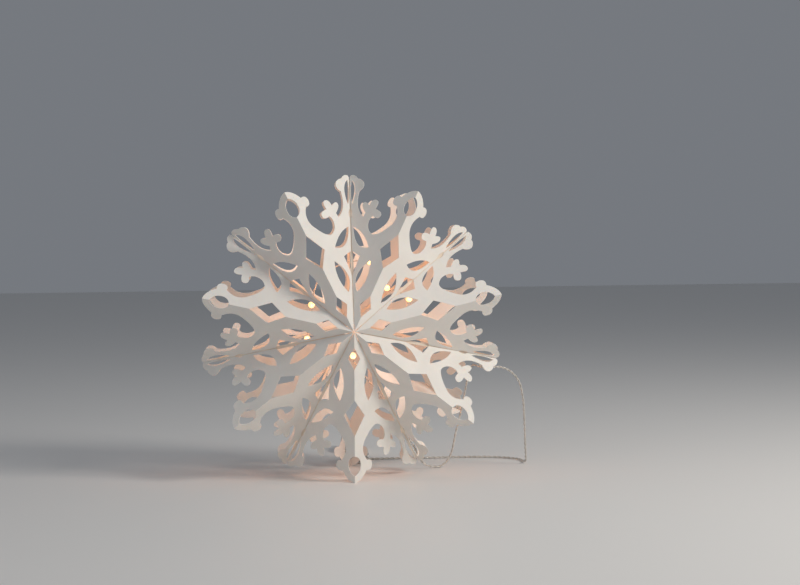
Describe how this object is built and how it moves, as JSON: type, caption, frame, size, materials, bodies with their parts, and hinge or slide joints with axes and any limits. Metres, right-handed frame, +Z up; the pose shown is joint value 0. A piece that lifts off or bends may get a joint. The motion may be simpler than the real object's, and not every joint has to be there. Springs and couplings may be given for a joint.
{
  "type": "paper snowflake star",
  "caption": "Pleated paper snowflake star lantern with cut-out leaves, lit from inside by a small warm light string on a thin plug-in lead; it stands on its lower ridge tips.",
  "frame": {"origin": "bottom centre of the star's box, on the surface it stands on", "axes": "+Z up, the star's axis along Y with its front facing -Y, +X to the right seen from the front"},
  "size_m": [0.2729, 0.2315, 0.2463],
  "materials": {
    "white_card": "matt white card with a fine fibre grain",
    "warm_bulb": "small clear warm-white lamp, lit",
    "bulb_holder": "translucent off-white moulded holder",
    "clear_lead": "clear twisted two-core lead",
    "plug_shell": "fine-textured off-white moulded plug",
    "plug_pin": "bright nickel plate"
  },
  "bodies": {
    "root": {"bulb_1": "warm_bulb", "bulb_2": "warm_bulb", "bulb_3": "warm_bulb", "bulb_4": "warm_bulb", "bulb_5": "warm_bulb", "bulb_6": "warm_bulb", "bulb_7": "warm_bulb", "bulb_8": "warm_bulb", "bulb_holder_1": "bulb_holder", "bulb_holder_2": "bulb_holder", "bulb_holder_3": "bulb_holder", "bulb_holder_4": "bulb_holder", "bulb_holder_5": "bulb_holder", "bulb_holder_6": "bulb_holder", "bulb_holder_7": "bulb_holder", "bulb_holder_8": "bulb_holder", "lead": "clear_lead", "lead_coil": "clear_lead", "lead_tail": "clear_lead", "light_wire": "clear_lead", "plug_body": "plug_shell", "plug_pin_left": "plug_pin", "plug_pin_right": "plug_pin", "plug_strain_relief": "plug_shell", "unit_1_front_leaf_a": "white_card", "unit_1_front_leaf_b": "white_card", "unit_1_rear_leaf_a": "white_card", "unit_1_rear_leaf_b": "white_card", "unit_2_front_leaf_a": "white_card", "unit_2_front_leaf_b": "white_card", "unit_2_rear_leaf_a": "white_card", "unit_2_rear_leaf_b": "white_card", "unit_3_front_leaf_a": "white_card", "unit_3_front_leaf_b": "white_card", "unit_3_rear_leaf_a": "white_card", "unit_3_rear_leaf_b": "white_card", "unit_4_front_leaf_a": "white_card", "unit_4_front_leaf_b": "white_card", "unit_4_rear_leaf_a": "white_card", "unit_4_rear_leaf_b": "white_card", "unit_5_front_leaf_a": "white_card", "unit_5_front_leaf_b": "white_card", "unit_5_rear_leaf_a": "white_card", "unit_5_rear_leaf_b": "white_card", "unit_6_front_leaf_a": "white_card", "unit_6_front_leaf_b": "white_card", "unit_6_rear_leaf_a": "white_card", "unit_6_rear_leaf_b": "white_card", "unit_7_front_leaf_a": "white_card", "unit_7_front_leaf_b": "white_card", "unit_7_rear_leaf_a": "white_card", "unit_7_rear_leaf_b": "white_card"}
  },
  "joints": []
}
